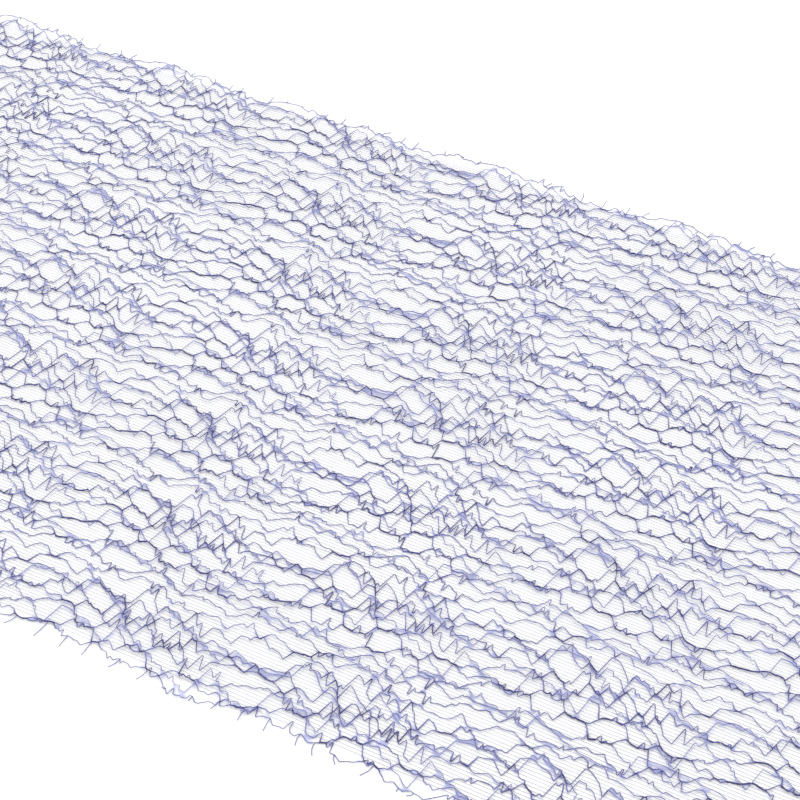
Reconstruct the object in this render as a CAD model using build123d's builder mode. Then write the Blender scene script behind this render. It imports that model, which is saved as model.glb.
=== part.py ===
from build123d import *
import math
import os
import random

os.makedirs("parts", exist_ok=True)

# A flat strip of bonded web netting. X runs along the strip, Y across it, Z up.
# The origin is the middle of the strip, on the surface that it lies on. Millimetres.

# Driving dimensions
net_length = 500.0
net_width = 300.0
strand_pitch = 4.43
strands_per_row = 10
strand_count = 67
row_shift = 12.2
motif_length = 77.2
motif_variants = 3
strand_width = 0.45
strand_height = 0.25
rover_width = 0.4
rovers_per_row = 3
filament_pitch = 1.35
filament_width = 0.12
filament_height = 0.1
filament_margin = 6.5
film_height = 0.03
whisker_spacing = 9.0
whisker_width = 0.3

# Heights of the layers, from the surface up. Each layer lies on the one under it.
lower_z = 0.0
filament_z = lower_z + strand_height
upper_z = filament_z + filament_height
top_z = upper_z + strand_height

# How far a strand may wander from its own line, so that strands of one layer never meet
strand_reach = 3.9
edge_reach = 0.9
rover_reach = 6.4

# Teeth: steep on the left, slanting down to the right. (pitch, height, rise)
cluster_teeth = (7.6, 6.6, 0.9)
calm_teeth = (20.0, 4.0, 1.0)
wave_teeth = (16.0, 3.6, 3.0)
tail_teeth = (13.0, 3.4, 1.5)
rover_teeth = (26.0, 12.0, 1.0)

# Stretches of one repeat of the pattern
motif_start = 0.5
cluster_start = 20.0
cluster_stop = 56.0
lens_half_pitch = 10.3
half_lenses = 6
lens_flat = 7.0
lens_swing = 2.1
arch_start = 28.0
arch_stop = 44.0
arch_height = 2.6

# The whole web snakes gently, in two waves to a repeat: (height, waves, phase)
snaking = ((1.5, 1, 0.6), (0.6, 2, 2.0))

# Bond film fills the gap where two neighbouring strands run close together
film_gap_low = 0.9
film_gap_high = 2.0
film_step = 0.8
film_length_low = 2.8
film_length_high = 5.6
film_inset = 0.12

spiky_strands = (0, 1, 2, 3)
lens_strands = (4, 5, 6)

half_length = net_length / 2
half_width = net_width / 2
first_strand_y = strand_pitch * (strand_count - 1) / 2
row_count = math.ceil(strand_count / strands_per_row)


def teeth(rng, start, stop, form):
    """Foot and peak knots of a run of uneven teeth."""
    pitch, height, rise = form
    knots = []
    along = start + rng.uniform(0, 0.5) * pitch
    while along < stop - rise - 1.0:
        tall = height * rng.uniform(0.45, 1.3)
        middle = height * rng.uniform(-0.25, 0.25)
        peak = along + rise * rng.uniform(0.8, 1.5)
        knots += [(along, middle - tall / 2), (peak, middle + tall / 2)]
        along += pitch * rng.uniform(0.65, 1.35)
    return knots


def lenses(rng, side):
    """Flats that meet the next strand's, first on one side and then the other, and close cells."""
    knots = []
    for number in range(half_lenses):
        along = 1.0 + number * lens_half_pitch + rng.uniform(-0.9, 0.9)
        flat = lens_flat * rng.uniform(0.75, 1.15)
        swing = side * lens_swing * rng.uniform(0.85, 1.15)
        across = swing if number % 2 else -swing
        knots += [(along, across), (along + flat, across + rng.uniform(-0.5, 0.5))]
    return knots


def arch(rng):
    """A low round arch, which runs beside those of the next strands."""
    third = (arch_stop - arch_start) / 3
    return [
        (arch_start, -arch_height / 2),
        (arch_start + third + rng.uniform(-1, 1), arch_height),
        (arch_start + 2 * third + rng.uniform(-1, 1), arch_height),
        (arch_stop, -arch_height / 3),
    ]


def motif(line):
    """One repeat of a strand, as (along, across) knots about its own line."""
    rng = random.Random(30 + line)
    if line in spiky_strands:
        start = cluster_start + rng.uniform(-5, 5)
        stop = cluster_stop + rng.uniform(-6, 6)
        return (teeth(rng, motif_start, start, calm_teeth) + teeth(rng, start, stop, cluster_teeth)
                + teeth(rng, stop, motif_length, calm_teeth))
    if line in lens_strands:
        last_lens = half_lenses * lens_half_pitch + 2.0
        return lenses(rng, 1 if line % 2 else -1) + teeth(rng, last_lens, motif_length, tail_teeth)
    return (teeth(rng, motif_start, arch_start - 2, wave_teeth) + arch(rng)
            + teeth(rng, arch_stop + 2, motif_length, wave_teeth))


def varied(knots, variant):
    """The same repeat with each knot moved a little, one way for each variant."""
    rng = random.Random(100 + variant)
    return [(along + rng.uniform(-0.3, 0.3), across + rng.uniform(-0.4, 0.4))
            for along, across in knots]


def snake(x, number):
    """How far the web as a whole lies off its line, beside the strand of this number."""
    turn = 2 * math.pi * (x - number * row_shift / strands_per_row) / motif_length
    return sum(height * math.sin(waves * turn + phase) for height, waves, phase in snaking)


def height_at(points, x):
    """Where a line lies across the strip at x."""
    for (x_a, y_a), (x_b, y_b) in zip(points, points[1:]):
        if x_a <= x <= x_b:
            return y_a + (y_b - y_a) * (x - x_a) / max(x_b - x_a, 1e-9)
    return points[-1][1]


def path(knots, number, reach):
    """The whole line of the strand of this number, cut straight at both ends of the strip."""
    middle = first_strand_y - number * strand_pitch
    shift = row_shift * int(number // strands_per_row)
    first = math.floor((-half_length - shift) / motif_length) - 1
    last = math.ceil((half_length - shift) / motif_length) + 1
    points = []
    for repeat in range(first, last):
        for along, across in varied(knots, repeat % motif_variants):
            x = shift + repeat * motif_length + along
            points.append((x, middle + max(-reach, min(reach, across)) + snake(x, number)))
    inside = [point for point in points if abs(point[0]) < half_length - 0.5]
    start = (-half_length, height_at(points, -half_length))
    end = (half_length, height_at(points, half_length))
    return [start] + inside + [end]


def strand_path(number):
    """The line of one strand, counted from the far edge."""
    at_edge = number in (0, strand_count - 1)
    return path(motif(number % strands_per_row), number, edge_reach if at_edge else strand_reach)


def rover_paths(row):
    """The lines of a row's loose strands, which wander across their neighbours."""
    lines = []
    for rover in range(rovers_per_row):
        number = (row + (rover + 0.5) / rovers_per_row) * strands_per_row - 0.5
        if number < strand_count - 2:
            knots = teeth(random.Random(50 + rover), motif_start, motif_length, rover_teeth)
            lines.append(path(knots, number, rover_reach))
    return lines


def outline(points, width):
    """The outline of a flat ribbon of one width along a line of knots."""
    half = width / 2
    left = [(points[0][0], points[0][1] + half)]
    right = [(points[0][0], points[0][1] - half)]
    for before, knot, after in zip(points, points[1:], points[2:]):
        start = (Vector(*knot) - Vector(*before)).normalized()
        end = (Vector(*after) - Vector(*knot)).normalized()
        across = Vector(-start.Y - end.Y, start.X + end.X)
        mitre = across * (half / max(1 + start.dot(end), 0.35))
        left.append((knot[0] + mitre.X, knot[1] + mitre.Y))
        right.append((knot[0] - mitre.X, knot[1] - mitre.Y))
    left.append((points[-1][0], points[-1][1] + half))
    right.append((points[-1][0], points[-1][1] - half))
    return left + right[::-1]


def film_patches(paths, rovers, row):
    """Four-sided patches between neighbouring strands, clear of the rovers and each other."""
    patches = []
    first = row * strands_per_row
    for number in range(first, min(first + strands_per_row, strand_count - 1)):
        far_side, near_side = paths[number], paths[number + 1]
        x = -half_length + film_step
        while x < half_length - film_length_high:
            length = 0.0
            while length < film_length_high:
                gap = height_at(far_side, x + length) - height_at(near_side, x + length)
                if not film_gap_low < gap < film_gap_high:
                    break
                length += film_step
            if length >= film_length_low:
                patch = patch_between(far_side, near_side, x, x + length - film_step)
                if is_clear(patch, patches, rovers):
                    patches.append(patch)
            x += length + film_step
    return patches


def patch_between(far_side, near_side, x_a, x_b):
    """The corners of a patch: far left, far right, near right and near left."""
    far_left, far_right = (height_at(far_side, x) - film_inset for x in (x_a, x_b))
    near_left, near_right = (height_at(near_side, x) + film_inset for x in (x_a, x_b))
    return [(x_a, far_left), (x_b, far_right), (x_b, near_right), (x_a, near_left)]


def is_clear(patch, patches, rovers):
    """Whether a patch is clear of the rovers and of the patches already there."""
    x_a, x_b = patch[0][0] - rover_width, patch[1][0] + rover_width
    low = min(y for _, y in patch) - rover_width
    high = max(y for _, y in patch) + rover_width
    for rover in rovers:
        near = [y for x, y in rover if x_a < x < x_b]
        near += [height_at(rover, x_a), height_at(rover, x_b)]
        if min(near) < high and max(near) > low:
            return False
    for other in patches:
        beside = other[1][0] < x_a or other[0][0] > x_b
        across = max(y for _, y in other) < low or min(y for _, y in other) > high
        if not beside and not across:
            return False
    return True


def export(name, part):
    """Write one node."""
    part.label = name
    export_step(part, f"parts/{name}.step")


def export_outlines(name, outlines, z, height):
    """One node of flat pieces, each a solid of its own."""
    with BuildPart() as pieces:
        with BuildSketch(Plane.XY.offset(z)):
            for points in outlines:
                with BuildLine():
                    Polyline(points, close=True)
                make_face()
        extrude(amount=height)
    export(name, pieces.part)


def export_filaments(name, y_low, y_high):
    """One node of fine parallel filaments."""
    count = round((y_high - y_low) / filament_pitch)
    with BuildPart() as filaments:
        with BuildSketch(Plane.XY.offset(filament_z)):
            with Locations((0, (y_high + y_low) / 2)):
                with GridLocations(net_length, (y_high - y_low) / count, 1, count):
                    Rectangle(net_length, filament_width)
        extrude(amount=filament_height)
    export(name, filaments.part)


def export_row(row, paths):
    """The five nodes of one repeat across the strip."""
    first = row * strands_per_row
    last = min(first + strands_per_row, strand_count)
    lower = [outline(paths[number], strand_width) for number in range(first, last, 2)]
    upper = [outline(paths[number], strand_width) for number in range(first + 1, last, 2)]
    rovers = rover_paths(row)
    export_outlines(f"row_{row + 1}_lower_strands", lower, lower_z, strand_height)
    export_outlines(f"row_{row + 1}_upper_strands", upper, upper_z, strand_height)
    export_outlines(f"row_{row + 1}_roving_strands", [outline(rover, rover_width) for rover in rovers],
                    top_z, strand_height)
    export_outlines(f"row_{row + 1}_bond_film", film_patches(paths, rovers, row), top_z, film_height)

    row_top = first_strand_y - (first - 0.5) * strand_pitch
    row_bottom = first_strand_y - (last - 0.5) * strand_pitch
    edge = half_width - filament_margin
    export_filaments(f"row_{row + 1}_fine_filaments", max(row_bottom, -edge), min(row_top, edge))


def export_whiskers(name, edge_path, side):
    """Cut thread ends that stand out from the slit edge on one side of the strip."""
    rng = random.Random(200 + side)
    outlines = []
    for number in range(1, int(net_length / whisker_spacing)):
        x = -half_length + whisker_spacing * (number + rng.uniform(-0.3, 0.3))
        lean = rng.uniform(-1.8, 1.8)
        short = 0.0 if number == 1 else rng.uniform(0.0, 1.2)
        tip = side * (half_width - short)
        foot = height_at(edge_path, x)
        outlines.append([(x, foot), (x + whisker_width, foot),
                         (x + whisker_width + lean, tip), (x + lean, tip)])
    export_outlines(name, outlines, filament_z, filament_height)


strand_paths = [strand_path(number) for number in range(strand_count)]
for row_number in range(row_count):
    export_row(row_number, strand_paths)
export_whiskers("far_edge_whiskers", strand_paths[0], 1)
export_whiskers("near_edge_whiskers", strand_paths[-1], -1)
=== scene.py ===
"""A flat strip of bonded blue web netting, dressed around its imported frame.

The strip runs along X, lies on Z = 0 and is 300 mm across Y. Its threads are drawn in millimetres,
as lines of knots, and become round crinkled threads through Geometry Nodes.
"""
import logging
import math
import random
from dataclasses import dataclass, field
from enum import Enum

import bpy
import numpy as np
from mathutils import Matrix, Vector


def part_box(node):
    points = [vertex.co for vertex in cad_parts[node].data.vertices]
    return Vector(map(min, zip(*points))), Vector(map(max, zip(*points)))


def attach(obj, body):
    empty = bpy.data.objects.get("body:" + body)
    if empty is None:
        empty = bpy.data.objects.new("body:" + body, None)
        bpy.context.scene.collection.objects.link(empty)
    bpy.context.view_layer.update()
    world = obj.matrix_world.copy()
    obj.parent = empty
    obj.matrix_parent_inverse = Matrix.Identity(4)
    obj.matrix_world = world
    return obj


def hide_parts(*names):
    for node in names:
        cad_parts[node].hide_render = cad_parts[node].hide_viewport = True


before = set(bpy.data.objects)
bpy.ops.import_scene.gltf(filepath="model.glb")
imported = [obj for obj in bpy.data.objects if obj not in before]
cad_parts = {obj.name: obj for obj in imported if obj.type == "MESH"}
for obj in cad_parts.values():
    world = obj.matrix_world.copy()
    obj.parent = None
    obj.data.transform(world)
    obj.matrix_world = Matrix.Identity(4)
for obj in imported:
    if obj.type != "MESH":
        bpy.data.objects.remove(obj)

MM = 0.001
LOG = logging.getLogger("web_netting")
Knot = tuple[float, float]


class Layer(Enum):
    """The layers of threads, named as the frame's nodes are, from the bottom up."""

    LOWER = "lower_strands"
    UPPER = "upper_strands"
    ROVING = "roving_strands"


class Run(Enum):
    """How a thread goes from one knot to the next."""

    BOWED = "one soft bow"
    TOOTHED = "small slanting teeth"
    SPIKED = "narrow spikes"


# ---------------------------------------------------------------------------------------------
# Node tree helpers
# ---------------------------------------------------------------------------------------------


def add_node(tree: bpy.types.NodeTree, kind: str, values: dict | None = None,
             **settings: object) -> bpy.types.Node:
    """Add a node to a tree.

    Args:
        tree: The node tree.
        kind: The node's type name.
        values: Input socket name or index to a constant, or to the output socket that feeds it.
        settings: Properties of the node itself.

    Returns:
        The new node.
    """
    node = tree.nodes.new(kind)
    for name, value in settings.items():
        setattr(node, name, value)
    for key, value in (values or {}).items():
        socket = node.inputs[key]
        if isinstance(value, bpy.types.NodeSocket):
            tree.links.new(value, socket)
        else:
            socket.default_value = value
    return node


def ramp_node(tree: bpy.types.NodeTree, factor: bpy.types.NodeSocket,
              stops: list[tuple[float, float]]) -> bpy.types.NodeSocket:
    """Remap a value through a grey colour ramp.

    Args:
        tree: The node tree.
        factor: The value to remap.
        stops: Pairs of place along the ramp and value there.

    Returns:
        The ramp's colour output.
    """
    node = add_node(tree, "ShaderNodeValToRGB", {"Fac": factor})
    elements = node.color_ramp.elements
    while len(elements) < len(stops):
        elements.new(0.5)
    for element, (place, value) in zip(elements, stops):
        element.position = place
        element.color = (value, value, value, 1.0)
    return node.outputs["Color"]


# ---------------------------------------------------------------------------------------------
# The pattern of the web, in millimetres
# ---------------------------------------------------------------------------------------------


@dataclass(frozen=True)
class Teeth:
    """A run of uneven teeth: steep on the left, slanting down to the right."""

    pitch: float
    height: float
    rise: float

    def knots(self, rng: random.Random, start: float, stop: float) -> list[Knot]:
        """Draw the teeth.

        Args:
            rng: The source of their unevenness.
            start: Where the run starts along the thread.
            stop: Where it ends.

        Returns:
            Foot and peak knots, as (along, across).
        """
        knots: list[Knot] = []
        along = start + rng.uniform(0, 0.5) * self.pitch
        while along < stop - self.rise - 1.0:
            tall = self.height * rng.uniform(0.45, 1.3)
            middle = self.height * rng.uniform(-0.25, 0.25)
            peak = along + self.rise * rng.uniform(0.8, 1.5)
            knots += [(along, middle - tall / 2), (peak, middle + tall / 2)]
            along += self.pitch * rng.uniform(0.65, 1.35)
        return knots


@dataclass(frozen=True)
class Lenses:
    """Flats that meet the next thread's, first on one side and then the other."""

    half_pitch: float = 10.3
    halves: int = 6
    flat: float = 7.0
    swing: float = 2.1

    def knots(self, rng: random.Random, side: int) -> list[Knot]:
        """Draw the flats of one thread.

        Args:
            rng: The source of their unevenness.
            side: 1 or -1, the side that the first flat is not on.

        Returns:
            The knots, as (along, across).
        """
        knots: list[Knot] = []
        for number in range(self.halves):
            along = 1.0 + number * self.half_pitch + rng.uniform(-0.9, 0.9)
            flat = self.flat * rng.uniform(0.75, 1.15)
            swing = side * self.swing * rng.uniform(0.85, 1.15)
            across = swing if number % 2 else -swing
            knots += [(along, across), (along + flat, across + rng.uniform(-0.5, 0.5))]
        return knots

    def stop(self) -> float:
        """Return where the last flat ends, with a little room."""
        return self.halves * self.half_pitch + 2.0


@dataclass(frozen=True)
class Arch:
    """A low round arch, which runs beside those of the next threads."""

    start: float = 28.0
    stop: float = 44.0
    height: float = 2.6

    def knots(self, rng: random.Random) -> list[Knot]:
        """Draw the arch.

        Args:
            rng: The source of its unevenness.

        Returns:
            The knots, as (along, across).
        """
        third = (self.stop - self.start) / 3
        return [
            (self.start, -self.height / 2),
            (self.start + third + rng.uniform(-1, 1), self.height),
            (self.start + 2 * third + rng.uniform(-1, 1), self.height),
            (self.stop, -self.height / 3),
        ]


@dataclass(frozen=True)
class WebPattern:
    """How the threads of the strip run. It draws the same lines as the frame's strands."""

    half_length: float
    strand_pitch: float = 4.43
    per_row: int = 10
    strand_count: int = 67
    row_shift: float = 12.2
    repeat: float = 77.2
    variants: int = 3
    rovers_per_row: int = 3
    strand_reach: float = 3.9
    edge_reach: float = 0.9
    rover_reach: float = 6.4
    cluster: Teeth = Teeth(7.6, 6.6, 0.9)
    calm: Teeth = Teeth(20.0, 4.0, 1.0)
    wave: Teeth = Teeth(16.0, 3.6, 3.0)
    tail: Teeth = Teeth(13.0, 3.4, 1.5)
    roving: Teeth = Teeth(26.0, 12.0, 1.0)
    lenses: Lenses = Lenses()
    arch: Arch = Arch()
    motif_start: float = 0.5
    cluster_start: float = 20.0
    cluster_stop: float = 56.0
    snaking: tuple[tuple[float, int, float], ...] = ((1.5, 1, 0.6), (0.6, 2, 2.0))
    shortest_run: float = 2.6
    steep_run: float = 3.0
    calm_shares: tuple[float, float, float] = (0.55, 0.15, 0.30)
    steep_shares: tuple[float, float, float] = (0.40, 0.20, 0.40)
    bow_share: tuple[float, float] = (-0.18, 0.26)
    most_bow: float = 2.4
    wave_height: tuple[float, float] = (0.2, 1.1)
    wave_length: tuple[float, float] = (4.5, 10.0)
    spike_gap: tuple[float, float] = (2.5, 11.0)
    small_tooth: float = 1.5
    spike: float = 4.4

    @property
    def rows(self) -> int:
        """Return how many repeats lie side by side across the strip."""
        return math.ceil(self.strand_count / self.per_row)

    @property
    def first_y(self) -> float:
        """Return where the strand at the far edge lies."""
        return self.strand_pitch * (self.strand_count - 1) / 2

    def motif(self, line: int) -> list[Knot]:
        """Draw one repeat of a strand.

        Args:
            line: The strand's number in its row. The first four are spiky, the next three
                close long cells, and the last three are calm.

        Returns:
            The knots, as (along, across) about the strand's own line.
        """
        rng = random.Random(30 + line)
        if line < 4:
            start = self.cluster_start + rng.uniform(-5, 5)
            stop = self.cluster_stop + rng.uniform(-6, 6)
            return (self.calm.knots(rng, self.motif_start, start)
                    + self.cluster.knots(rng, start, stop)
                    + self.calm.knots(rng, stop, self.repeat))
        if line < 7:
            return (self.lenses.knots(rng, 1 if line % 2 else -1)
                    + self.tail.knots(rng, self.lenses.stop(), self.repeat))
        return (self.wave.knots(rng, self.motif_start, self.arch.start - 2)
                + self.arch.knots(rng)
                + self.wave.knots(rng, self.arch.stop + 2, self.repeat))

    def snake(self, x: float, number: float) -> float:
        """Return how far the web as a whole lies off its line at x, beside a strand."""
        turn = 2 * math.pi * (x - number * self.row_shift / self.per_row) / self.repeat
        return sum(height * math.sin(waves * turn + phase)
                   for height, waves, phase in self.snaking)

    def line(self, knots: list[Knot], number: float, reach: float, key: int) -> np.ndarray:
        """Run one repeat along the whole strip, with small teeth added between its knots.

        Args:
            knots: The repeat.
            number: The strand's number from the far edge, which may lie between two.
            reach: How far the line may wander.
            key: The seed of the small teeth.

        Returns:
            The points of the line, one per row of the array, in millimetres.
        """
        middle = self.first_y - number * self.strand_pitch
        shift = self.row_shift * int(number // self.per_row)
        first = math.floor((-self.half_length - shift) / self.repeat) - 1
        last = math.ceil((self.half_length - shift) / self.repeat) + 1
        points: list[Knot] = []
        seeds: list[int] = []
        for turn in range(first, last):
            variant = turn % self.variants
            rng = random.Random(100 + variant)
            for index, (along, across) in enumerate(knots):
                x = shift + turn * self.repeat + along + rng.uniform(-0.3, 0.3)
                held = max(-reach, min(reach, across + rng.uniform(-0.4, 0.4)))
                points.append((x, middle + held + self.snake(x, number)))
                seeds.append(10000 * key + 100 * variant + index)
        return self.cut(self.add_small_teeth(points, seeds))

    def add_small_teeth(self, points: list[Knot], seeds: list[int]) -> list[Knot]:
        """Give each long run of a line its bow, teeth or spikes.

        Args:
            points: The line's knots.
            seeds: One seed for the run after each knot, so that each repeat looks the same.

        Returns:
            The knots with the new ones among them.
        """
        detailed = [points[0]]
        for begin, end, seed in zip(points, points[1:], seeds):
            if end[0] - begin[0] > self.shortest_run:
                rng = random.Random(seed)
                steep = abs(end[1] - begin[1]) > self.steep_run
                shares = self.steep_shares if steep else self.calm_shares
                style = rng.choices(list(Run), shares)[0]
                detailed += self.dress_run(rng, begin, end, style)
            detailed.append(end)
        return detailed

    def dress_run(self, rng: random.Random, begin: Knot, end: Knot, style: Run) -> list[Knot]:
        """Draw the knots inside one run.

        Args:
            rng: The source of their unevenness.
            begin: The knot before the run.
            end: The knot after it.
            style: How the run goes.

        Returns:
            The knots between the two.
        """
        run, fall = end[0] - begin[0], end[1] - begin[1]
        bow = max(-self.most_bow, min(self.most_bow, run * rng.uniform(*self.bow_share)))
        wave, length = rng.uniform(*self.wave_height), rng.uniform(*self.wave_length)
        phase = rng.uniform(0, 2 * math.pi)
        knots: list[Knot] = []
        next_feature = begin[0] + rng.uniform(0.9, 3.0)
        x = begin[0] + rng.uniform(0.7, 1.3)
        while x < end[0] - 1.0:
            share = (x - begin[0]) / run
            ripple = wave * math.sin(2 * math.pi * x / length + phase)
            y = begin[1] + fall * share + (bow + ripple) * math.sin(math.pi * share)
            if style is not Run.BOWED and x >= next_feature:
                shape, gap = self.feature(rng, style)
                knots += [(x + along, y + across) for along, across in shape
                          if x + along < end[0] - 0.5]
                x += shape[-1][0] + rng.uniform(0.7, 1.3)
                next_feature = x + gap
                continue
            knots.append((x, y + rng.uniform(-0.1, 0.1)))
            x += rng.uniform(0.8, 1.5)
        return knots

    def feature(self, rng: random.Random, style: Run) -> tuple[list[Knot], float]:
        """Draw one tooth or spike.

        Args:
            rng: The source of its unevenness.
            style: Which of the two.

        Returns:
            Its knots from its foot, and the distance to the next.
        """
        if style is Run.TOOTHED:
            tall = self.small_tooth * rng.uniform(0.35, 1.3) * rng.choice((1, 1, 1, -1))
            rise = rng.uniform(0.3, 0.8)
            return [(0.0, -tall / 2), (rise, tall / 2)], rng.uniform(0.5, 4.0)
        tall = self.spike * rng.uniform(0.35, 1.2) * rng.choice((1, 1, -1))
        up, down = rng.uniform(0.4, 1.2), rng.uniform(0.3, 1.4)
        foot = rng.uniform(-0.3, 0.2) * tall
        return ([(0.0, -0.15 * tall), (up, 0.85 * tall), (up + down, foot)],
                rng.uniform(*self.spike_gap))

    def cut(self, points: list[Knot]) -> np.ndarray:
        """Cut a line straight at both ends of the strip.

        Args:
            points: The line's knots, which run past both ends.

        Returns:
            The points between the ends, one per row of the array.
        """
        along, across = (np.array(values) for values in zip(*points))
        ends = np.interp([-self.half_length, self.half_length], along, across)
        inside = np.abs(along) < self.half_length - 0.3
        xs = np.concatenate([[-self.half_length], along[inside], [self.half_length]])
        ys = np.concatenate([ends[:1], across[inside], ends[1:]])
        return np.column_stack([xs, ys])

    def strands(self) -> list[np.ndarray]:
        """Return the lines of all strands, from the far edge to the near one."""
        lines = []
        for number in range(self.strand_count):
            line = number % self.per_row
            at_edge = number in (0, self.strand_count - 1)
            reach = self.edge_reach if at_edge else self.strand_reach
            lines.append(self.line(self.motif(line), number, reach, 5 + line))
        return lines

    def rovers(self, row: int) -> list[np.ndarray]:
        """Return the lines of a row's loose threads, which wander across their neighbours."""
        lines = []
        for rover in range(self.rovers_per_row):
            number = (row + (rover + 0.5) / self.rovers_per_row) * self.per_row - 0.5
            if number < self.strand_count - 2:
                knots = self.roving.knots(random.Random(50 + rover), self.motif_start, self.repeat)
                lines.append(self.line(knots, number, self.rover_reach, 25 + rover))
        return lines


@dataclass
class Bundling:
    """How threads that run close together cling to each other."""

    near: float = 1.5
    pull: float = 0.375
    rounds: int = 3

    def closeness(self, lines: list[np.ndarray], index: int) -> tuple[np.ndarray, np.ndarray]:
        """Measure one line against the lines beside it.

        Args:
            lines: All lines, in order across the strip.
            index: The line to measure.

        Returns:
            For each of its points, the mean distance to the lines near by, and how near they
            are, from 0 to 1.
        """
        xs, ys = lines[index].T
        total, weight = np.zeros(len(xs)), np.zeros(len(xs))
        for other in (index - 1, index + 1):
            if 0 <= other < len(lines):
                gap = np.interp(xs, lines[other][:, 0], lines[other][:, 1]) - ys
                share = np.clip(1 - np.abs(gap) / self.near, 0, 1)
                total += share * gap
                weight += share
        return total / np.maximum(weight, 1e-6), np.clip(weight, 0, 1)

    def settle(self, lines: list[np.ndarray]) -> list[np.ndarray]:
        """Draw neighbouring lines together where they run close.

        Args:
            lines: All lines, in order across the strip.

        Returns:
            The settled lines, in the same order.
        """
        for _ in range(self.rounds):
            moved = []
            for index, line in enumerate(lines):
                gap, near = self.closeness(lines, index)
                shift = self.pull * gap * np.clip(2 * near, 0, 1)
                moved.append(np.column_stack([line[:, 0], line[:, 1] + shift]))
            lines = moved
        return lines


@dataclass
class Lie:
    """How the limp web lies: almost flat, with low soft rises where it doesn't touch down."""

    rise: float = 0.7

    def lift(self, x: np.ndarray, y: np.ndarray) -> np.ndarray:
        """Return the height of the web's underside, in millimetres, at points in plan."""
        long_wave = np.sin(x / 31.0 + 0.8 * np.sin(y / 43.0)) * np.sin(y / 24.0 + 0.5)
        short_wave = np.sin(x / 11.0 + y / 17.0) * np.sin(y / 9.0 - x / 23.0)
        return self.rise * np.clip(0.35 * long_wave + 0.25 * short_wave + 0.25, 0, 1)


# ---------------------------------------------------------------------------------------------
# Finishes
# ---------------------------------------------------------------------------------------------


class SharedEffects:
    """Shader node groups that several finishes use, each built once."""

    def __init__(self) -> None:
        """Build the groups."""
        self.fibre = self.build_fibre()

    @staticmethod
    def build_fibre() -> bpy.types.NodeTree:
        """Build the effect of uneven dyed fibre: a patchy colour and a fine fibre grain.

        Returns:
            A group with inputs Deep, Light, Lightness, Patch Scale, Grain Scale and Grain, and
            outputs Color, Roughness and Height.
        """
        group = bpy.data.node_groups.new("uneven_fibre", "ShaderNodeTree")
        face = group.interface
        for name, kind in (("Deep", "NodeSocketColor"), ("Light", "NodeSocketColor"),
                           ("Lightness", "NodeSocketFloat"), ("Patch Scale", "NodeSocketFloat"),
                           ("Grain Scale", "NodeSocketFloat"), ("Grain", "NodeSocketFloat")):
            face.new_socket(name=name, in_out="INPUT", socket_type=kind)
        for name, kind in (("Color", "NodeSocketColor"), ("Roughness", "NodeSocketFloat"),
                           ("Height", "NodeSocketFloat")):
            face.new_socket(name=name, in_out="OUTPUT", socket_type=kind)
        given = add_node(group, "NodeGroupInput").outputs
        place = add_node(group, "ShaderNodeTexCoord").outputs["Object"]
        patches = add_node(group, "ShaderNodeTexNoise",
                           {"Vector": place, "Scale": given["Patch Scale"], "Detail": 3.0})
        grain = add_node(group, "ShaderNodeTexNoise",
                         {"Vector": place, "Scale": given["Grain Scale"], "Detail": 2.0,
                          "Roughness": 0.7})
        spread = add_node(group, "ShaderNodeMapRange",
                          {"Value": patches.outputs["Fac"], "From Min": 0.3, "From Max": 0.7})
        patched = add_node(group, "ShaderNodeMath", {0: spread.outputs["Result"], 1: 0.45},
                           operation="MULTIPLY")
        grained = add_node(group, "ShaderNodeMath",
                           {0: grain.outputs["Fac"], 1: given["Grain"],
                            2: patched.outputs["Value"]}, operation="MULTIPLY_ADD")
        mixed = add_node(group, "ShaderNodeMath",
                         {0: grained.outputs["Value"], 1: given["Lightness"]}, operation="ADD",
                         use_clamp=True)
        colour = add_node(group, "ShaderNodeMix", {0: mixed.outputs["Value"]},
                          data_type="RGBA")
        group.links.new(given["Deep"], colour.inputs[6])
        group.links.new(given["Light"], colour.inputs[7])
        rough = add_node(group, "ShaderNodeMapRange",
                         {"Value": grain.outputs["Fac"], "To Min": 0.42, "To Max": 0.72})
        out = add_node(group, "NodeGroupOutput")
        group.links.new(colour.outputs[2], out.inputs["Color"])
        group.links.new(rough.outputs["Result"], out.inputs["Roughness"])
        group.links.new(grain.outputs["Fac"], out.inputs["Height"])
        return group


def start_material(name: str) -> tuple[bpy.types.Material, bpy.types.NodeTree, bpy.types.Node]:
    """Start a material.

    Args:
        name: Its name.

    Returns:
        The material, its node tree and its Principled BSDF.
    """
    material = bpy.data.materials.new(name)
    material.use_nodes = True
    tree = material.node_tree
    return material, tree, tree.nodes["Principled BSDF"]


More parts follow.
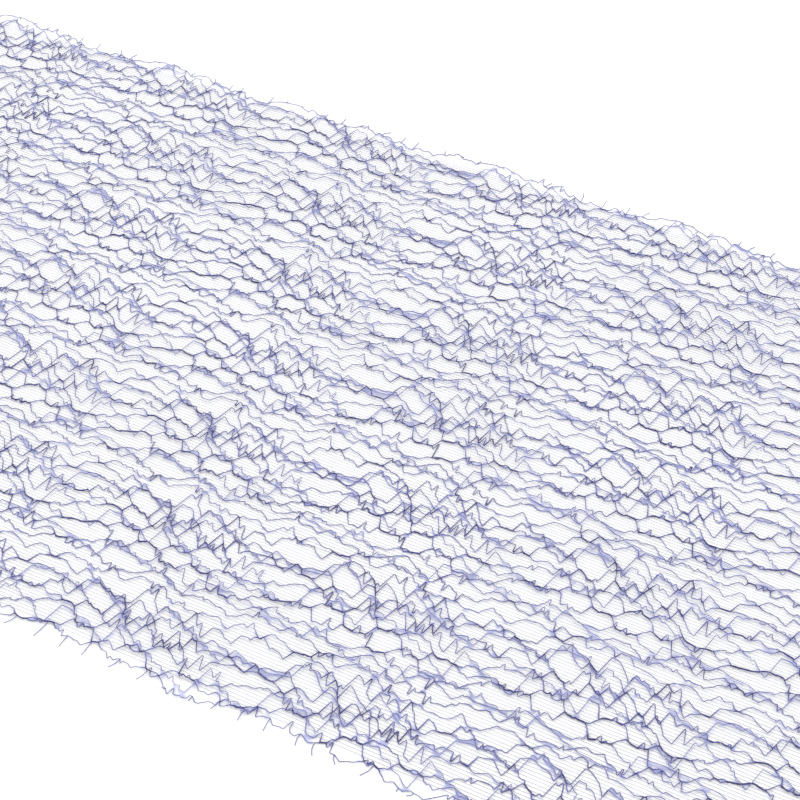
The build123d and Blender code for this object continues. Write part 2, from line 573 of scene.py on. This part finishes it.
@dataclass(frozen=True)
class ThreadFinish:
    """Dyed crinkled thread with a dull sheen, with painted shade: darker where threads bundle
    together, lighter where one runs on its own.
    """

    name: str
    deep: tuple[float, float, float]
    light: tuple[float, float, float]
    # How much lighter a thread on its own is painted than one in a bundle.
    lightness: float
    sheen: float = 0.25

    def make(self, effects: SharedEffects) -> bpy.types.Material:
        """Make the material.

        Args:
            effects: The shared node groups.

        Returns:
            The material.
        """
        material, tree, shader = start_material(self.name)
        # Painted shade: the attribute is 1 where a thread runs on its own and 0 in a bundle, so
        # bundled threads are painted darker.
        alone_painted_light = add_node(tree, "ShaderNodeAttribute", attribute_name="alone_painted_light").outputs["Fac"]
        lightness = add_node(tree, "ShaderNodeMath", {0: alone_painted_light, 1: self.lightness, 2: -0.3},
                             operation="MULTIPLY_ADD")
        fibre = add_node(tree, "ShaderNodeGroup", node_tree=effects.fibre)
        fibre.inputs["Deep"].default_value = (*self.deep, 1.0)
        fibre.inputs["Light"].default_value = (*self.light, 1.0)
        fibre.inputs["Patch Scale"].default_value = 55.0
        fibre.inputs["Grain Scale"].default_value = 2600.0
        fibre.inputs["Grain"].default_value = 0.35
        tree.links.new(lightness.outputs["Value"], fibre.inputs["Lightness"])
        bump = add_node(tree, "ShaderNodeBump",
                        {"Strength": 0.5, "Distance": 0.00006, "Height": fibre.outputs["Height"]})
        tree.links.new(fibre.outputs["Color"], shader.inputs["Base Color"])
        tree.links.new(fibre.outputs["Roughness"], shader.inputs["Roughness"])
        tree.links.new(bump.outputs["Normal"], shader.inputs["Normal"])
        shader.inputs["Sheen Weight"].default_value = self.sheen
        shader.inputs["Sheen Roughness"].default_value = 0.4
        return material


@dataclass(frozen=True)
class FilamentFinish:
    """Fine see-through pale monofilament with a soft gloss."""

    name: str
    deep: tuple[float, float, float]
    light: tuple[float, float, float]

    def make(self, effects: SharedEffects) -> bpy.types.Material:
        """Make the material.

        Args:
            effects: The shared node groups.

        Returns:
            The material.
        """
        material, tree, shader = start_material(self.name)
        fibre = add_node(tree, "ShaderNodeGroup", node_tree=effects.fibre)
        fibre.inputs["Deep"].default_value = (*self.deep, 1.0)
        fibre.inputs["Light"].default_value = (*self.light, 1.0)
        fibre.inputs["Lightness"].default_value = 0.0
        fibre.inputs["Patch Scale"].default_value = 30.0
        fibre.inputs["Grain Scale"].default_value = 1500.0
        fibre.inputs["Grain"].default_value = 0.3
        bump = add_node(tree, "ShaderNodeBump",
                        {"Strength": 0.3, "Distance": 0.00003, "Height": fibre.outputs["Height"]})
        tree.links.new(fibre.outputs["Color"], shader.inputs["Base Color"])
        tree.links.new(fibre.outputs["Roughness"], shader.inputs["Roughness"])
        tree.links.new(bump.outputs["Normal"], shader.inputs["Normal"])
        shader.inputs["Coat Weight"].default_value = 0.3
        return material


@dataclass(frozen=True)
class FilmFinish:
    """Thin pale bonded film, wrinkled, and open wherever the threads are far apart."""

    name: str
    deep: tuple[float, float, float]
    light: tuple[float, float, float]
    strength: float

    def make(self, effects: SharedEffects) -> bpy.types.Material:
        """Make the material.

        Args:
            effects: The shared node groups.

        Returns:
            The material.
        """
        material, tree, shader = start_material(self.name)
        fibre = add_node(tree, "ShaderNodeGroup", node_tree=effects.fibre)
        fibre.inputs["Deep"].default_value = (*self.deep, 1.0)
        fibre.inputs["Light"].default_value = (*self.light, 1.0)
        fibre.inputs["Lightness"].default_value = 0.1
        fibre.inputs["Patch Scale"].default_value = 120.0
        fibre.inputs["Grain Scale"].default_value = 900.0
        fibre.inputs["Grain"].default_value = 0.4
        place = add_node(tree, "ShaderNodeTexCoord").outputs["Object"]
        cover = add_node(tree, "ShaderNodeAttribute", attribute_name="cover").outputs["Fac"]
        torn = add_node(tree, "ShaderNodeTexNoise",
                        {"Vector": place, "Scale": 160.0, "Detail": 4.0, "Roughness": 0.6})
        ragged = add_node(tree, "ShaderNodeMath", {0: torn.outputs["Fac"], 1: 0.9, 2: -0.45},
                          operation="MULTIPLY_ADD")
        kept = add_node(tree, "ShaderNodeMath", {0: cover, 1: ragged.outputs["Value"]},
                        operation="ADD")
        edge = ramp_node(tree, kept.outputs["Value"],
                         [(0.0, 0.0), (0.42, 0.0), (0.62, 1.0), (1.0, 1.0)])
        alpha = add_node(tree, "ShaderNodeMath", {0: edge, 1: self.strength},
                         operation="MULTIPLY")
        bump = add_node(tree, "ShaderNodeBump",
                        {"Strength": 0.4, "Distance": 0.0001, "Height": fibre.outputs["Height"]})
        tree.links.new(fibre.outputs["Color"], shader.inputs["Base Color"])
        tree.links.new(fibre.outputs["Roughness"], shader.inputs["Roughness"])
        tree.links.new(alpha.outputs["Value"], shader.inputs["Alpha"])
        tree.links.new(bump.outputs["Normal"], shader.inputs["Normal"])
        shader.inputs["Coat Weight"].default_value = 0.2
        return material


@dataclass(frozen=True)
class FloorFinish:
    """Plain white board."""

    name: str = "white_board"
    shade: float = 0.80

    def make(self) -> bpy.types.Material:
        """Make the material.

        Returns:
            The material.
        """
        material, _, shader = start_material(self.name)
        shader.inputs["Base Color"].default_value = (self.shade, self.shade, self.shade, 1.0)
        shader.inputs["Roughness"].default_value = 0.9
        return material


# ---------------------------------------------------------------------------------------------
# Geometry Nodes
# ---------------------------------------------------------------------------------------------


class NodeTool:
    """A Geometry Nodes tree with named inputs, applied to a base mesh to make a plain one."""

    def __init__(self, name: str, inputs: tuple[tuple[str, str], ...]) -> None:
        """Start the tree.

        Args:
            name: Its name.
            inputs: Name and socket type of each input after the geometry.
        """
        self.tree = bpy.data.node_groups.new(name, "GeometryNodeTree")
        face = self.tree.interface
        face.new_socket(name="Geometry", in_out="INPUT", socket_type="NodeSocketGeometry")
        self.sockets = {label: face.new_socket(name=label, in_out="INPUT", socket_type=kind)
                        for label, kind in inputs}
        face.new_socket(name="Geometry", in_out="OUTPUT", socket_type="NodeSocketGeometry")
        self.given = add_node(self.tree, "NodeGroupInput").outputs
        self.output = add_node(self.tree, "NodeGroupOutput")

    def finish(self, geometry: bpy.types.NodeSocket) -> None:
        """End the tree in Realize Instances and Set Material.

        Args:
            geometry: The socket with the finished shape.
        """
        smooth = add_node(self.tree, "GeometryNodeSetShadeSmooth", {"Geometry": geometry})
        real = add_node(self.tree, "GeometryNodeRealizeInstances",
                        {"Geometry": smooth.outputs["Geometry"]})
        dressed = add_node(self.tree, "GeometryNodeSetMaterial",
                           {"Geometry": real.outputs["Geometry"],
                            "Material": self.given["Material"]})
        self.tree.links.new(dressed.outputs["Geometry"], self.output.inputs["Geometry"])

    def make(self, name: str, base: bpy.types.Mesh,
             values: dict[str, object]) -> bpy.types.Object:
        """Run the tree on a base mesh.

        Args:
            name: The new piece's name.
            base: The mesh that the tree starts from.
            values: A value for each named input.

        Returns:
            A plain mesh object at the origin.
        """
        carrier = bpy.data.objects.new(name + "_base", base)
        bpy.context.scene.collection.objects.link(carrier)
        modifier = carrier.modifiers.new("build", "NODES")
        modifier.node_group = self.tree
        for label, value in values.items():
            modifier[self.sockets[label].identifier] = value
        graph = bpy.context.evaluated_depsgraph_get()
        mesh = bpy.data.meshes.new_from_object(carrier.evaluated_get(graph), depsgraph=graph)
        mesh.name = name
        carrier.modifiers.remove(modifier)
        bpy.data.objects.remove(carrier)
        bpy.data.meshes.remove(base)
        piece = bpy.data.objects.new(name, mesh)
        bpy.context.scene.collection.objects.link(piece)
        return piece


def build_thread_tool() -> NodeTool:
    """Build the tree that turns lines of edges into round crinkled threads.

    Returns:
        The tool. Its base mesh carries the thread's radius at each point as "thickness".
    """
    tool = NodeTool("round_threads", (
        ("Material", "NodeSocketMaterial"), ("Corner Radius", "NodeSocketFloat"),
        ("Corner Points", "NodeSocketInt"), ("Sides", "NodeSocketInt"),
        ("Crinkle", "NodeSocketFloat"), ("Unevenness", "NodeSocketFloat"),
        ("Seed", "NodeSocketFloat")))
    tree, given = tool.tree, tool.given
    curve = add_node(tree, "GeometryNodeMeshToCurve", {"Mesh": given["Geometry"]})
    rounded = add_node(tree, "GeometryNodeFilletCurve",
                       {"Curve": curve.outputs["Curve"], "Radius": given["Corner Radius"],
                        "Count": given["Corner Points"], "Limit Radius": True}, mode="POLY")
    place = add_node(tree, "GeometryNodeInputPosition")
    crinkle_noise = add_node(tree, "ShaderNodeTexNoise",
                             {"Vector": place.outputs["Position"], "W": given["Seed"],
                              "Scale": 700.0, "Detail": 1.0}, noise_dimensions="4D")
    centred = add_node(tree, "ShaderNodeVectorMath",
                       {0: crinkle_noise.outputs["Color"], 1: (0.5, 0.5, 0.5)},
                       operation="SUBTRACT")
    offset = add_node(tree, "ShaderNodeVectorMath",
                      {0: centred.outputs["Vector"], "Scale": given["Crinkle"]},
                      operation="SCALE")
    bent = add_node(tree, "GeometryNodeSetPosition",
                    {"Geometry": rounded.outputs["Curve"], "Offset": offset.outputs["Vector"]})
    radius = add_node(tree, "GeometryNodeInputNamedAttribute", {"Name": "thickness"},
                      data_type="FLOAT")
    slub = add_node(tree, "ShaderNodeTexNoise",
                    {"Vector": place.outputs["Position"], "W": given["Seed"],
                     "Scale": 420.0, "Detail": 2.0}, noise_dimensions="4D")
    slub_centred = add_node(tree, "ShaderNodeMath", {0: slub.outputs["Fac"], 1: 0.5},
                            operation="SUBTRACT")
    factor = add_node(tree, "ShaderNodeMath",
                      {0: slub_centred.outputs["Value"], 1: given["Unevenness"], 2: 1.0},
                      operation="MULTIPLY_ADD")
    thick = add_node(tree, "ShaderNodeMath",
                     {0: radius.outputs["Attribute"], 1: factor.outputs["Value"]},
                     operation="MULTIPLY")
    profile = add_node(tree, "GeometryNodeCurvePrimitiveCircle",
                       {"Resolution": given["Sides"], "Radius": 1.0}, mode="RADIUS")
    tube = add_node(tree, "GeometryNodeCurveToMesh",
                    {"Curve": bent.outputs["Geometry"], "Profile Curve": profile.outputs["Curve"],
                     "Scale": thick.outputs["Value"], "Fill Caps": True})
    tool.finish(tube.outputs["Mesh"])
    return tool


def build_filament_tool() -> NodeTool:
    """Build the tree that lays fine filaments side by side across a band of the strip.

    Returns:
        The tool. Its base mesh is one straight line of edges at the band's far side.
    """
    tool = NodeTool("fine_filaments", (
        ("Material", "NodeSocketMaterial"), ("Count", "NodeSocketInt"),
        ("Pitch", "NodeSocketFloat"), ("Radius", "NodeSocketFloat"), ("Sides", "NodeSocketInt"),
        ("Waviness", "NodeSocketFloat"), ("Seed", "NodeSocketFloat")))
    tree, given = tool.tree, tool.given
    step = add_node(tree, "ShaderNodeMath", {0: given["Pitch"], 1: -1.0}, operation="MULTIPLY")
    across = add_node(tree, "ShaderNodeCombineXYZ", {"Y": step.outputs["Value"]})
    row = add_node(tree, "GeometryNodeMeshLine",
                   {"Count": given["Count"], "Offset": across.outputs["Vector"]})
    copies = add_node(tree, "GeometryNodeInstanceOnPoints",
                      {"Points": row.outputs["Mesh"], "Instance": given["Geometry"]})
    laid = add_node(tree, "GeometryNodeRealizeInstances",
                    {"Geometry": copies.outputs["Instances"]})
    curve = add_node(tree, "GeometryNodeMeshToCurve", {"Mesh": laid.outputs["Geometry"]})
    place = add_node(tree, "GeometryNodeInputPosition")
    stretched = add_node(tree, "ShaderNodeVectorMath",
                         {0: place.outputs["Position"], 1: (0.12, 1.0, 1.0)},
                         operation="MULTIPLY")
    noise = add_node(tree, "ShaderNodeTexNoise",
                     {"Vector": stretched.outputs["Vector"], "W": given["Seed"],
                      "Scale": 900.0, "Detail": 1.0}, noise_dimensions="4D")
    centred = add_node(tree, "ShaderNodeVectorMath",
                       {0: noise.outputs["Color"], 1: (0.5, 0.5, 0.5)}, operation="SUBTRACT")
    flat = add_node(tree, "ShaderNodeVectorMath",
                    {0: centred.outputs["Vector"], 1: (0.0, 1.0, 0.25)}, operation="MULTIPLY")
    offset = add_node(tree, "ShaderNodeVectorMath",
                      {0: flat.outputs["Vector"], "Scale": given["Waviness"]},
                      operation="SCALE")
    wavy = add_node(tree, "GeometryNodeSetPosition",
                    {"Geometry": curve.outputs["Curve"], "Offset": offset.outputs["Vector"]})
    profile = add_node(tree, "GeometryNodeCurvePrimitiveCircle",
                       {"Resolution": given["Sides"], "Radius": 1.0}, mode="RADIUS")
    tube = add_node(tree, "GeometryNodeCurveToMesh",
                    {"Curve": wavy.outputs["Geometry"], "Profile Curve": profile.outputs["Curve"],
                     "Scale": given["Radius"], "Fill Caps": True})
    tool.finish(tube.outputs["Mesh"])
    return tool


def line_mesh(name: str, lines: list[np.ndarray],
              values: dict[str, list[np.ndarray]]) -> bpy.types.Mesh:
    """Make a mesh of edges from lines of points.

    Args:
        name: The mesh's name.
        lines: For each line, its points in metres, one per row of the array.
        values: For each attribute, one array of point values per line.

    Returns:
        The mesh.
    """
    edges = []
    start = 0
    for line in lines:
        edges += [(start + index, start + index + 1) for index in range(len(line) - 1)]
        start += len(line)
    mesh = bpy.data.meshes.new(name)
    mesh.from_pydata(np.vstack(lines).tolist(), edges, [])
    for label, arrays in values.items():
        attribute = mesh.attributes.new(label, "FLOAT", "POINT")
        attribute.data.foreach_set("value", np.concatenate(arrays).astype(np.float32))
    return mesh


# ---------------------------------------------------------------------------------------------
# Sub-assemblies
# ---------------------------------------------------------------------------------------------


@dataclass
class Threads:
    """The crinkled threads of the whole strip: lower, upper and roving ones."""

    pattern: WebPattern
    tool: NodeTool
    materials: dict[Layer, bpy.types.Material]
    bundling: Bundling = field(default_factory=Bundling)
    lie: Lie = field(default_factory=Lie)
    strand_radius: float = 0.13
    rover_radius: float = 0.12
    clearance: float = 0.3
    bundle_swell: float = 0.6
    corner_radius: float = 0.22
    corner_points: int = 2
    sides: int = 6
    crinkle: float = 0.16
    unevenness: float = 0.7
    slots: dict[Layer, str] = field(default_factory=lambda: {
        Layer.LOWER: "strand_navy", Layer.UPPER: "strand_blue", Layer.ROVING: "strand_blue"})

    def __post_init__(self) -> None:
        """Draw and settle the lines."""
        self.strands = self.bundling.settle(self.pattern.strands())
        self.rovers = [self.pattern.rovers(row) for row in range(self.pattern.rows)]
        self.nearness = [self.bundling.closeness(self.strands, index)[1]
                         for index in range(len(self.strands))]

    def height(self, node: str) -> float:
        """Return the height of a layer's middle, in millimetres, from its node's box."""
        low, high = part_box(node)
        return (low[2] + high[2]) / 2 / MM

    def raised(self, line: np.ndarray, level: float) -> np.ndarray:
        """Give a line its height.

        Args:
            line: Its points in plan, in millimetres.
            level: The height of its layer's middle, in millimetres.

        Returns:
            Its points in metres.
        """
        z = level + self.lie.lift(line[:, 0], line[:, 1])
        return np.column_stack([line, z]) * MM

    def spin(self, name: str, base: bpy.types.Mesh, material: bpy.types.Material,
             seed: float) -> bpy.types.Object:
        """Turn lines into crinkled threads.

        Args:
            name: The piece's name.
            base: The lines, with their thickness.
            material: Its finish.
            seed: What its random crinkle starts from.

        Returns:
            The piece, a plain mesh.
        """
        return self.tool.make(name, base, {
            "Material": material, "Corner Radius": self.corner_radius * MM,
            "Corner Points": self.corner_points, "Sides": self.sides,
            "Crinkle": self.crinkle * MM, "Unevenness": self.unevenness, "Seed": seed})

    def build_piece(self, row: int, layer: Layer) -> bpy.types.Object:
        """Build one layer of one row.

        Args:
            row: The row's number from the far edge, from 0.
            layer: Which layer.

        Returns:
            The finished piece.
        """
        node = f"row_{row + 1}_{layer.value}"
        first = row * self.pattern.per_row + (1 if layer is Layer.UPPER else 0)
        last = min((row + 1) * self.pattern.per_row, self.pattern.strand_count)
        if layer is Layer.ROVING:
            lines = self.rovers[row]
            near = [np.zeros(len(line)) for line in lines]
            thin = self.rover_radius
        else:
            lines = [self.strands[number] for number in range(first, last, 2)]
            near = [self.nearness[number] for number in range(first, last, 2)]
            thin = self.strand_radius
        level = max(self.height(node), self.clearance)
        base = line_mesh(node + "_lines", [self.raised(line, level) for line in lines], {
            "thickness": [(thin * (1 + self.bundle_swell * share)) * MM for share in near],
            # Painted shade: 1 where a thread runs on its own, less where neighbours run close, so
            # bundles are painted darker.
            "alone_painted_light": [1 - share for share in near],
        })
        name = f"row_{row + 1}_{layer.value.replace('strands', 'threads')}"
        piece = self.spin(name, base, self.materials[layer], float(row + 1))
        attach(piece, "root")
        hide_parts(node)
        LOG.info("%s: %d faces", piece.name, len(piece.data.polygons))
        return piece

    def build(self) -> list[bpy.types.Object]:
        """Build all rows and layers and return the pieces."""
        return [self.build_piece(row, layer)
                for row in range(self.pattern.rows) for layer in Layer]


@dataclass
class Filaments:
    """The fine parallel filaments that run between the lower and the upper threads."""

    pattern: WebPattern
    tool: NodeTool
    material: bpy.types.Material
    lie: Lie
    pitch: float = 1.35
    radius: float = 0.08
    sides: int = 4
    waviness: float = 0.5
    step: float = 4.0

    def build_row(self, row: int) -> bpy.types.Object:
        """Build the filaments of one row.

        Args:
            row: The row's number from the far edge, from 0.

        Returns:
            The finished piece.
        """
        node = f"row_{row + 1}_fine_filaments"
        low, high = (np.array(corner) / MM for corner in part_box(node))
        count = round((high[1] - low[1]) / self.pitch) + 1
        xs = np.linspace(low[0], high[0], round((high[0] - low[0]) / self.step) + 1)
        ys = np.full(len(xs), high[1] - self.radius)
        level = (low[2] + high[2]) / 2
        middle = (high[1] + low[1]) / 2
        z = level + self.lie.lift(xs, np.full(len(xs), middle))
        base = line_mesh(node + "_line", [np.column_stack([xs, ys, z]) * MM], {})
        pitch = (high[1] - low[1] - 2 * self.radius) / (count - 1)
        piece = self.tool.make(f"row_{row + 1}_filaments", base, {
            "Material": self.material, "Count": count, "Pitch": pitch * MM,
            "Radius": self.radius * MM, "Sides": self.sides, "Waviness": self.waviness * MM,
            "Seed": float(20 + row)})
        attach(piece, "root")
        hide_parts(node)
        LOG.info("%s: %d filaments", piece.name, count)
        return piece

    def build(self) -> list[bpy.types.Object]:
        """Build all rows and return the pieces."""
        return [self.build_row(row) for row in range(self.pattern.rows)]


@dataclass
class BondFilm:
    """The small patches of thin film that web the tight corners between the threads."""

    threads: Threads
    material: bpy.types.Material
    step: float = 1.0
    full_gap: float = 0.7
    open_gap: float = 2.9
    at_thread: float = 0.72
    least_cover: float = 0.4
    least_gap: float = 0.12

    def grid(self) -> tuple[np.ndarray, np.ndarray, np.ndarray]:
        """Lay a grid whose rows follow the threads, with one row midway between each two.

        Returns:
            The grid's places along and across in millimetres, and how much of the film is
            there, from 0 to 1, each with one line of the grid per row of the array.
        """
        half = self.threads.pattern.half_length
        xs = np.linspace(-half, half, round(2 * half / self.step) + 1)
        lines = self.threads.strands + [line for row in self.threads.rovers for line in row]
        ys = np.sort([np.interp(xs, line[:, 0], line[:, 1]) for line in lines], axis=0)[::-1]
        gaps = ys[:-1] - ys[1:]
        cover = np.clip((self.open_gap - gaps) / (self.open_gap - self.full_gap), 0, 1)
        rows, covers = [], []
        for index, line in enumerate(ys):
            rows.append(line)
            covers.append(np.full(len(xs), self.at_thread))
            if index < len(gaps):
                rows.append(line - gaps[index] / 2)
                covers.append(cover[index])
        return np.tile(xs, (len(rows), 1)), np.array(rows), np.array(covers)

    def patches(self, ys: np.ndarray, cover: np.ndarray) -> tuple[np.ndarray, np.ndarray]:
        """Choose the faces of the grid that are film, and leave the open cells out.

        Args:
            ys: The grid's places across, in millimetres.
            cover: How much of the film is at each.

        Returns:
            The corners of the chosen faces, and the row of the pattern that each is in.
        """
        corners = np.arange(ys.size).reshape(ys.shape)
        faces = np.stack([corners[1:, :-1], corners[1:, 1:], corners[:-1, 1:], corners[:-1, :-1]],
                         axis=-1).reshape(-1, 4)
        across = ys.reshape(-1)[faces]
        height = np.minimum(across[:, 3] - across[:, 0], across[:, 2] - across[:, 1])
        there = (cover.reshape(-1)[faces].mean(axis=1) > self.least_cover)
        faces = faces[there & (height > self.least_gap)]
        pattern = self.threads.pattern
        middle = ys.reshape(-1)[faces].mean(axis=1)
        number = (pattern.first_y - middle) / (pattern.strand_pitch * pattern.per_row)
        return faces, np.clip(number.astype(int), 0, pattern.rows - 1)

    def build_row(self, row: int, points: np.ndarray, cover: np.ndarray,
                  faces: np.ndarray) -> bpy.types.Object:
        """Build the patches of one row.

        Args:
            row: The row's number from the far edge, from 0.
            points: The grid's points in metres, one per row of the array.
            cover: How much of the film is at each.
            faces: The corners of this row's faces.

        Returns:
            The finished piece.
        """
        used, corners = np.unique(faces, return_inverse=True)
        name = f"row_{row + 1}_film_patches"
        mesh = bpy.data.meshes.new(name)
        mesh.from_pydata(points[used].tolist(), [], corners.reshape(-1, 4).tolist())
        attribute = mesh.attributes.new("cover", "FLOAT", "POINT")
        attribute.data.foreach_set("value", cover[used].astype(np.float32))
        mesh.materials.append(self.material)
        mesh.polygons.foreach_set("use_smooth", [True] * len(mesh.polygons))
        piece = bpy.data.objects.new(name, mesh)
        bpy.context.scene.collection.objects.link(piece)
        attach(piece, "root")
        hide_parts(f"row_{row + 1}_bond_film")
        LOG.info("%s: %d faces", piece.name, len(mesh.polygons))
        return piece

    def build(self) -> list[bpy.types.Object]:
        """Build all rows and return the pieces."""
        xs, ys, cover = self.grid()
        z = self.threads.height("row_1_fine_filaments") + self.threads.lie.lift(xs, ys)
        points = np.stack([xs, ys, z], axis=-1).reshape(-1, 3) * MM
        faces, rows = self.patches(ys, cover)
        return [self.build_row(row, points, cover.reshape(-1), faces[rows == row])
                for row in range(self.threads.pattern.rows)]


@dataclass
class SlitEdge:
    """The short cut thread ends that stand out along one long edge."""

    threads: Threads
    material: bpy.types.Material
    name: str
    strand: int
    side: int
    spacing: float = 9.0
    unevenness: float = 0.3
    most_lean: float = 1.8
    most_short: float = 1.2
    radius: float = 0.13
    rise: float = 0.1

    def ends(self, reach: float) -> list[np.ndarray]:
        """Draw the cut ends in plan, where the CAD model has them.

        Args:
            reach: How far the longest end stands from the strip's middle line, in millimetres.

        Returns:
            For each end, its foot on the edge thread, its bend and its tip, in millimetres.
        """
        rng = random.Random(200 + self.side)
        half_length = self.threads.pattern.half_length
        thread = self.threads.strands[self.strand]
        lines = []
        for number in range(1, int(2 * half_length / self.spacing)):
            x = self.spacing * (number + rng.uniform(-self.unevenness, self.unevenness)) - half_length
            lean = rng.uniform(-self.most_lean, self.most_lean)
            short = 0.0 if number == 1 else rng.uniform(0.0, self.most_short)
            foot = thread[np.abs(thread[:, 0] - x).argmin()]
            tip = np.array((x + lean, self.side * (reach - short)))
            bend = np.array((foot[0] + lean / 4, (foot[1] + tip[1]) / 2))
            lines.append(np.array((foot, bend, tip)))
        return lines

    def build(self) -> bpy.types.Object:
        """Build the cut ends of this edge and return the piece."""
        node = f"{self.name}_whiskers"
        low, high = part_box(node)
        reach = max(high[1], -low[1]) / MM
        level = self.threads.height("row_1_lower_strands") + self.rise
        lines = [self.threads.raised(line, level) for line in self.ends(reach)]
        base = line_mesh(node + "_lines", lines, {
            "thickness": [np.full(len(line), self.radius * MM) for line in lines],
            # The cut ends stand on their own, so they take the lighter end of the painted bundle
            # shade.
            "alone_painted_light": [np.ones(len(line)) for line in lines]})
        piece = self.threads.spin(f"{self.name}_cut_ends", base, self.material, float(200 + self.side))
        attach(piece, "root")
        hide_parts(node)
        LOG.info("%s: %d cut ends", piece.name, len(lines))
        return piece


# ---------------------------------------------------------------------------------------------
# Studio
# ---------------------------------------------------------------------------------------------


@dataclass
class Studio:
    """A plain white floor, soft bright light and the camera."""

    azimuth: float = 29.1
    elevation: float = 40.0
    distance: float = 0.831
    lens: float = 107.3
    look_at: tuple[float, float, float] = (0.0445, 0.006, 0.0)
    floor_size: float = 6.0
    sky: float = 1.3

    def build_floor(self) -> None:
        """Build the floor."""
        half = self.floor_size / 2
        mesh = bpy.data.meshes.new("floor")
        mesh.from_pydata([(-half, -half, 0), (half, -half, 0), (half, half, 0), (-half, half, 0)],
                         [], [(0, 1, 2, 3)])
        mesh.materials.append(FloorFinish().make())
        floor = bpy.data.objects.new("floor", mesh)
        bpy.context.scene.collection.objects.link(floor)

    def build_light(self, name: str, place: tuple[float, float, float], size: float,
                    power: float) -> None:
        """Add a square soft light that faces the middle of the strip.

        Args:
            name: Its name.
            place: Where it stands, in metres.
            size: Its side, in metres.
            power: Its power, in watts.
        """
        data = bpy.data.lights.new(name, "AREA")
        data.shape = "SQUARE"
        data.size = size
        data.energy = power
        light = bpy.data.objects.new(name, data)
        light.location = place
        light.rotation_euler = (-Vector(place)).to_track_quat("-Z", "Y").to_euler()
        bpy.context.scene.collection.objects.link(light)

    def build_sky(self) -> None:
        """Light the scene evenly from all round."""
        world = bpy.data.worlds.new("white_room")
        world.use_nodes = True
        shade = world.node_tree.nodes["Background"]
        shade.inputs["Color"].default_value = (1.0, 1.0, 1.0, 1.0)
        shade.inputs["Strength"].default_value = self.sky
        bpy.context.scene.world = world

    def build_camera(self) -> None:
        """Stand the camera above the near right side of the strip."""
        turn, tilt = math.radians(self.azimuth), math.radians(self.elevation)
        away = Vector((math.sin(turn) * math.cos(tilt), -math.cos(turn) * math.cos(tilt),
                       math.sin(tilt)))
        data = bpy.data.cameras.new("camera")
        data.sensor_width = 36.0
        data.lens = self.lens
        camera = bpy.data.objects.new("camera", data)
        camera.location = Vector(self.look_at) + away * self.distance
        camera.rotation_euler = (-away).to_track_quat("-Z", "Y").to_euler()
        bpy.context.scene.collection.objects.link(camera)
        bpy.context.scene.camera = camera

    def build(self) -> None:
        """Build the whole studio."""
        bpy.context.scene.view_settings.view_transform = "Standard"
        self.build_camera()
        self.build_floor()
        self.build_sky()
        self.build_light("key_light", (-0.9, 0.9, 1.6), 1.4, 10.0)
        self.build_light("fill_light", (1.2, -0.8, 1.4), 1.2, 3.0)


def main() -> None:
    """Build the netting and the studio around it."""
    logging.basicConfig(level=logging.INFO, format="%(name)s: %(message)s")
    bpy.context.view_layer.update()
    Studio().build()

    effects = SharedEffects()
    navy = ThreadFinish("navy_thread", (0.014, 0.014, 0.120), (0.120, 0.120, 0.36), 0.46)
    blue = ThreadFinish("blue_thread", (0.020, 0.020, 0.140), (0.165, 0.165, 0.42), 0.52)
    pale = ThreadFinish("roving_thread", (0.026, 0.026, 0.150), (0.190, 0.190, 0.43), 0.54)
    filament = FilamentFinish("pale_filament", (0.24, 0.25, 0.33), (0.40, 0.41, 0.49))
    film = FilmFinish("bonded_film", (0.13, 0.16, 0.56), (0.28, 0.33, 0.76), 0.42)

    pattern = WebPattern(half_length=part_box("row_1_lower_strands")[1][0] / MM)
    blue_thread = blue.make(effects)
    threads = Threads(pattern, build_thread_tool(), {
        Layer.LOWER: navy.make(effects), Layer.UPPER: blue_thread,
        Layer.ROVING: pale.make(effects)})
    threads.build()
    Filaments(pattern, build_filament_tool(), filament.make(effects),
              threads.lie).build()
    SlitEdge(threads, blue_thread, "far_edge", 0, 1).build()
    SlitEdge(threads, blue_thread, "near_edge", pattern.strand_count - 1, -1).build()
    BondFilm(threads, film.make(effects)).build()


if __name__ == "__main__":
    main()
